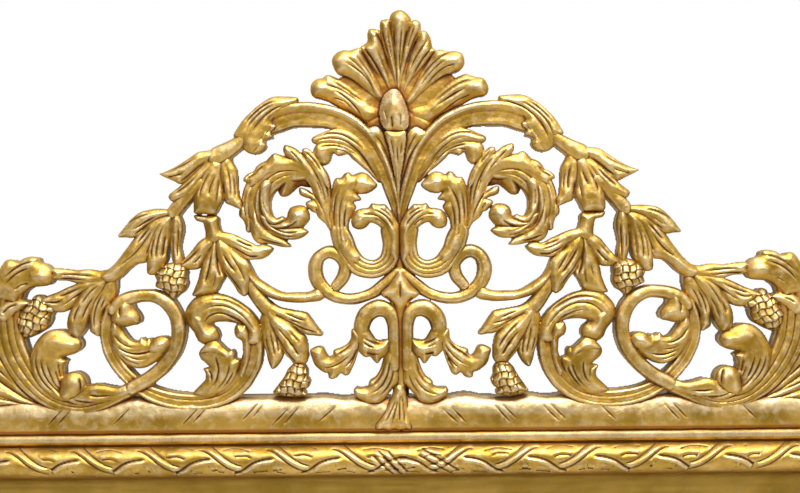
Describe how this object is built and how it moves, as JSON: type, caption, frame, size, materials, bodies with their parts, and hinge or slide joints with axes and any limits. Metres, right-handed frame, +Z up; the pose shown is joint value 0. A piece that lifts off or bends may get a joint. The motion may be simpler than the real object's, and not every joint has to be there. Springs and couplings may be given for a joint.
{
  "type": "wall mirror",
  "caption": "Tall giltwood wall mirror: mitred carved frame with a plain hollow and sight bead, silvered plate, and a pierced acanthus scroll crest; hangs on two swinging rings.",
  "frame": {"origin": "centre of the bottom rail's flat underside, half way between the wall plane and the front", "axes": "+Z up, +Y towards the wall behind the mirror, -Y out of the glass, +X to the right as one looks at the glass"},
  "size_m": [1.2, 0.085, 2.0085],
  "materials": {
    "gilt_carving": "gold leaf over orange bole on carved wood, brighter on high points, orange brown in the cuts, semi-gloss",
    "gilt_moulding": "gold leaf over orange bole, burnished on beads and roll, toned dark in the hollow",
    "silvered_glass": "silvered plate glass",
    "pine": "bare aged pine",
    "dark_iron": "dark waxed iron",
    "brass": "aged brass",
    "felt": "dark green felt"
  },
  "bodies": {
    "frame": {"top_rail": "gilt_moulding", "bottom_rail": "gilt_moulding", "left_stile": "gilt_moulding", "right_stile": "gilt_moulding", "mirror_plate": "silvered_glass", "backboard_lower": "pine", "backboard_upper": "pine", "corner_brace_lower_left": "dark_iron", "corner_brace_lower_right": "dark_iron", "corner_brace_upper_right": "dark_iron", "corner_brace_upper_left": "dark_iron", "wall_pad_lower_left": "felt", "wall_pad_upper_left": "felt", "wall_pad_lower_right": "felt", "wall_pad_upper_right": "felt", "hanger_plate_left": "brass", "hanger_screw_upper_left": "dark_iron", "hanger_screw_lower_left": "dark_iron", "hanger_plate_right": "brass", "hanger_screw_upper_right": "dark_iron", "hanger_screw_lower_right": "dark_iron", "crest_batten": "pine", "center_bud": "gilt_carving", "center_stem": "gilt_carving", "foot_husk": "gilt_carving", "arch_left": "gilt_carving", "arch_right": "gilt_carving", "acanthus_scroll_left": "gilt_carving", "acanthus_scroll_right": "gilt_carving", "upper_side_leaf_left": "gilt_carving", "upper_side_leaf_right": "gilt_carving", "inner_loop_left": "gilt_carving", "inner_loop_right": "gilt_carving", "tendril_ring_left": "gilt_carving", "tendril_ring_right": "gilt_carving", "outer_husks_left": "gilt_carving", "outer_husks_right": "gilt_carving", "inner_husks_left": "gilt_carving", "inner_husks_right": "gilt_carving", "ring_scroll_left": "gilt_carving", "ring_scroll_right": "gilt_carving", "outer_scroll_left": "gilt_carving", "outer_scroll_right": "gilt_carving", "tail_leaf_left": "gilt_carving", "tail_leaf_right": "gilt_carving", "lower_curl_left": "gilt_carving", "lower_curl_right": "gilt_carving", "palmette_finial": "gilt_carving", "cone_upper_left": "gilt_carving", "cone_upper_right": "gilt_carving", "cone_outer_left": "gilt_carving", "cone_outer_right": "gilt_carving", "cone_lower_left": "gilt_carving", "cone_lower_right": "gilt_carving", "crest_log_left": "gilt_carving", "crest_log_right": "gilt_carving", "crest_strap_left": "dark_iron", "crest_strap_right": "dark_iron"},
    "left_ring": {"hanger_ring_left": "brass"},
    "right_ring": {"hanger_ring_right": "brass"}
  },
  "joints": [
    {"name": "left_ring_swing", "type": "hinge", "parent": "frame", "child": "left_ring", "pos_m": [-0.552, 0.0391, 1.18], "axis": [-1, 0, 0], "range_deg": [0, 175]},
    {"name": "right_ring_swing", "type": "hinge", "parent": "frame", "child": "right_ring", "pos_m": [0.552, 0.0391, 1.18], "axis": [-1, 0, 0], "range_deg": [0, 175]}
  ]
}
